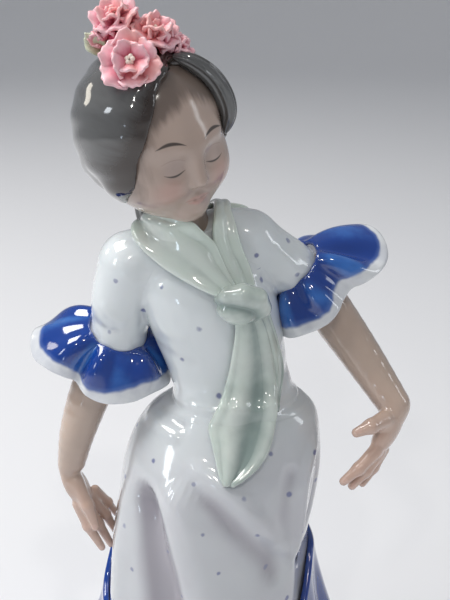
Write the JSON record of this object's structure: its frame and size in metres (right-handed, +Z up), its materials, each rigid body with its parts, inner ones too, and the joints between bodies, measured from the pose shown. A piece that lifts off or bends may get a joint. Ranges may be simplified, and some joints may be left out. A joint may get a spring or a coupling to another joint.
{
  "type": "porcelain figurine",
  "caption": "Standing porcelain figurine of a young dancer in a dotted ruffled dress with a knotted shawl and hand-made flowers in her hair.",
  "frame": {"origin": "centre of the foot ring, on the plane the figurine stands on", "axes": "+Z up from the foot ring to the flowers; the dancer faces -Y; +X is towards her own left"},
  "size_m": [0.0945, 0.0917, 0.1867],
  "materials": {
    "base": "unglazed white bisque",
    "dress": "glossy clear glaze over bluish white with painted slate-blue dots",
    "blue_ruffle": "glossy cobalt-blue glaze with a white painted edge",
    "petticoat": "glossy white glaze",
    "skin": "glossy glaze over pale beige, painted features",
    "hair": "glossy grey-brown glaze with darker painted strands",
    "shawl": "glossy pale green glaze, greyer in the folds",
    "petals": "satin coral pink, deeper at the heart",
    "stamens": "satin cream",
    "leaves": "satin pale green"
  },
  "bodies": {
    "root": {"base_plate": "base", "petticoat_frill": "petticoat", "hem_flounce": "blue_ruffle", "skirt": "dress", "bodice": "dress", "neck": "skin", "head": "skin", "hair_cap": "hair", "hair_side_lock": "hair", "hair_tail": "hair", "right_sleeve": "dress", "left_sleeve": "dress", "right_sleeve_ruffle": "blue_ruffle", "left_sleeve_ruffle": "blue_ruffle", "right_forearm": "skin", "left_forearm": "skin", "right_hand": "skin", "left_hand": "skin", "shawl_back": "shawl", "shawl_right_front": "shawl", "shawl_left_front": "shawl", "shawl_knot": "shawl", "shawl_tail_outer": "shawl", "shawl_tail_inner": "shawl", "flower_pad": "petals", "front_flower_petals": "petals", "front_flower_stamens": "stamens", "side_flower_petals": "petals", "side_flower_stamens": "stamens", "top_flower_petals": "petals", "top_flower_stamens": "stamens", "small_flower_petals": "petals", "flower_bud": "petals", "flower_leaves": "leaves"}
  },
  "joints": []
}
